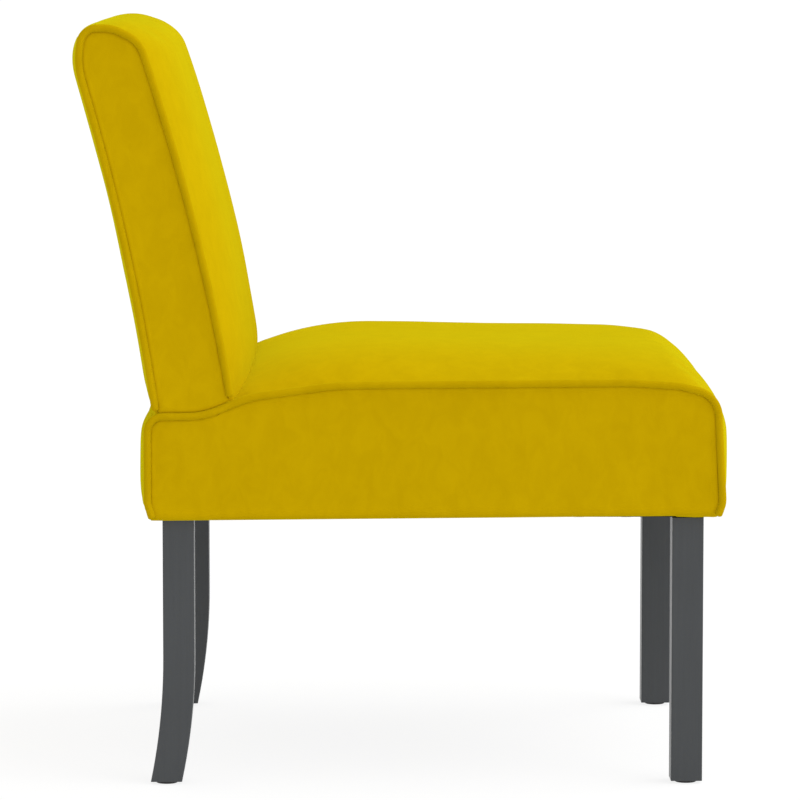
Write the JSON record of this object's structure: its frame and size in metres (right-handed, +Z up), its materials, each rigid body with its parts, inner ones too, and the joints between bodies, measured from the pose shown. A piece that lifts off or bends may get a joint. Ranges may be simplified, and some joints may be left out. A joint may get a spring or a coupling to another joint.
{
  "type": "slipper chair",
  "caption": "Armless low lounge chair with a crowned, piped velvet seat box, a raked piped back and square wooden legs, the rear pair swept back.",
  "frame": {"origin": "on the floor, under the middle of the chair's overall outline", "axes": "+Z up, the chair faces -Y, +X to the sitter's left"},
  "size_m": [0.5394, 0.6706, 0.7694],
  "materials": {
    "velvet": "short-pile mustard-yellow velvet",
    "leg_lacquer": "satin dark grey lacquer on solid wood",
    "glide_plastic": "dark moulded plastic",
    "foam": "open-cell upholstery foam",
    "wadding": "white polyester wadding",
    "fibreboard": "bare hardboard",
    "webbing": "woven elastic webbing",
    "black_cloth": "thin non-woven cloth",
    "zinc_steel": "zinc-plated steel",
    "bare_wood": "planed softwood, unfinished"
  },
  "bodies": {
    "root": {"back_board": "fibreboard", "back_cover_strip": "velvet", "back_foam": "foam", "back_post_left": "bare_wood", "back_post_right": "bare_wood", "back_rail_lower": "bare_wood", "back_rail_middle": "bare_wood", "back_rail_top": "bare_wood", "back_rear_padding": "wadding", "back_side_pad_left": "wadding", "back_side_pad_right": "wadding", "back_side_panel_left": "velvet", "back_side_panel_right": "velvet", "back_webbing": "webbing", "back_webbing_staples": "zinc_steel", "back_welt_left": "velvet", "back_welt_right": "velvet", "dust_cover": "black_cloth", "dust_cover_staples": "zinc_steel", "glide_front_left": "glide_plastic", "glide_front_right": "glide_plastic", "glide_nails": "zinc_steel", "glide_rear_left": "glide_plastic", "glide_rear_right": "glide_plastic", "leg_front_left": "leg_lacquer", "leg_front_right": "leg_lacquer", "leg_hanger_bolts": "zinc_steel", "leg_insert_nuts": "zinc_steel", "leg_rear_left": "leg_lacquer", "leg_rear_right": "leg_lacquer", "post_bolt_nuts": "zinc_steel", "post_bolt_washers": "zinc_steel", "post_bolts": "zinc_steel", "rail_screws": "zinc_steel", "seat_corner_blocks": "bare_wood", "seat_cover_strip": "velvet", "seat_foam": "foam", "seat_platform_cloth": "black_cloth", "seat_rail_front": "bare_wood", "seat_rail_left": "bare_wood", "seat_rail_rear": "bare_wood", "seat_rail_right": "bare_wood", "seat_side_pad_left": "wadding", "seat_side_pad_right": "wadding", "seat_side_panel_left": "velvet", "seat_side_panel_right": "velvet", "seat_webbing_cross": "webbing", "seat_webbing_long": "webbing", "seat_webbing_staples": "zinc_steel", "seat_welt_left": "velvet", "seat_welt_right": "velvet"}
  },
  "joints": []
}
